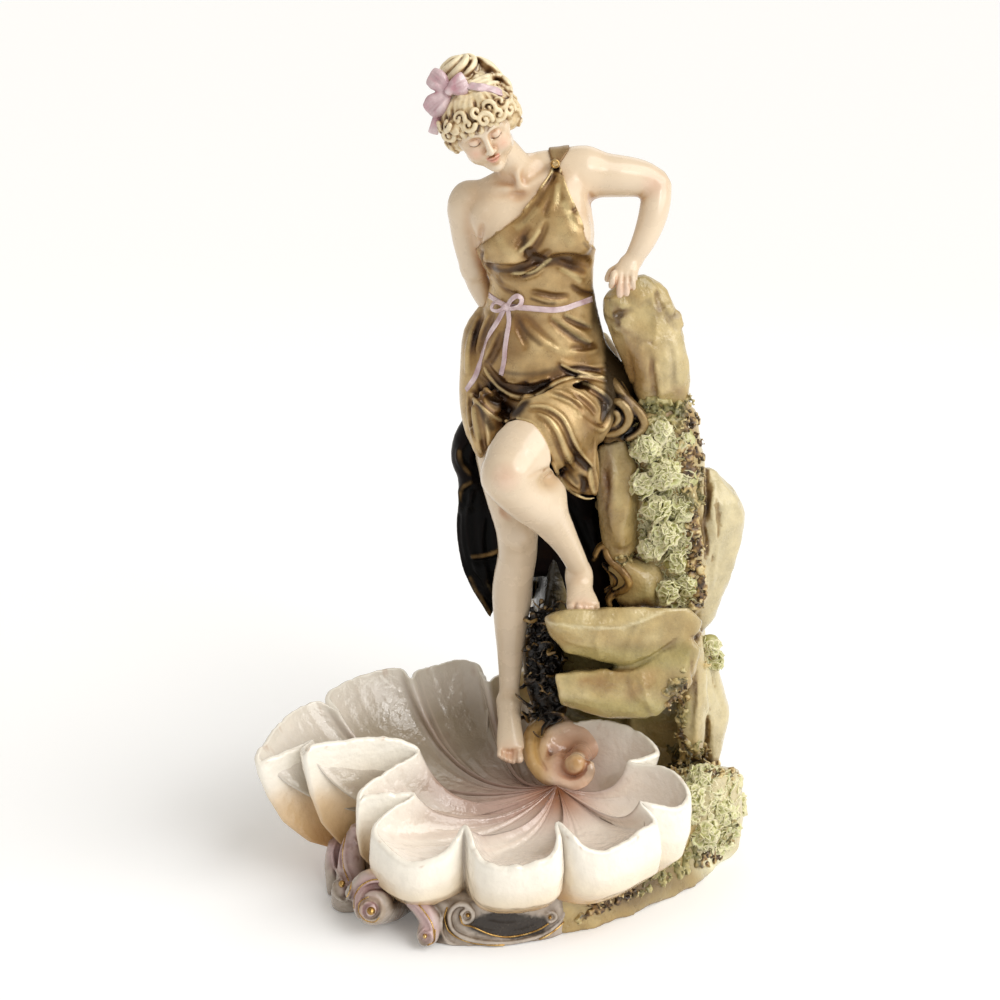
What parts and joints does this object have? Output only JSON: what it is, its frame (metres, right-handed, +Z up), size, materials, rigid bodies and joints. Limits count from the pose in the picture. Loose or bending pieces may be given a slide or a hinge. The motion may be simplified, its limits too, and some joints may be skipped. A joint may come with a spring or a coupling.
{
  "type": "porcelain centerpiece",
  "caption": "Figural porcelain centerpiece: a draped woman leaning on a rock dips one foot into a fluted shell bowl on a scrolled foot, cast and fired as one piece.",
  "frame": {"origin": "centre of the bounding box in plan, at the level the foot stands on", "axes": "+Z up along the height, -Y to the front where the shell bowl opens, +X to the viewer's right where the rock stands"},
  "size_m": [0.3072, 0.2366, 0.4983],
  "materials": {
    "glazed_porcelain": "glossy glazed and painted porcelain"
  },
  "bodies": {
    "root": {"centerpiece": "glazed_porcelain"}
  },
  "joints": []
}
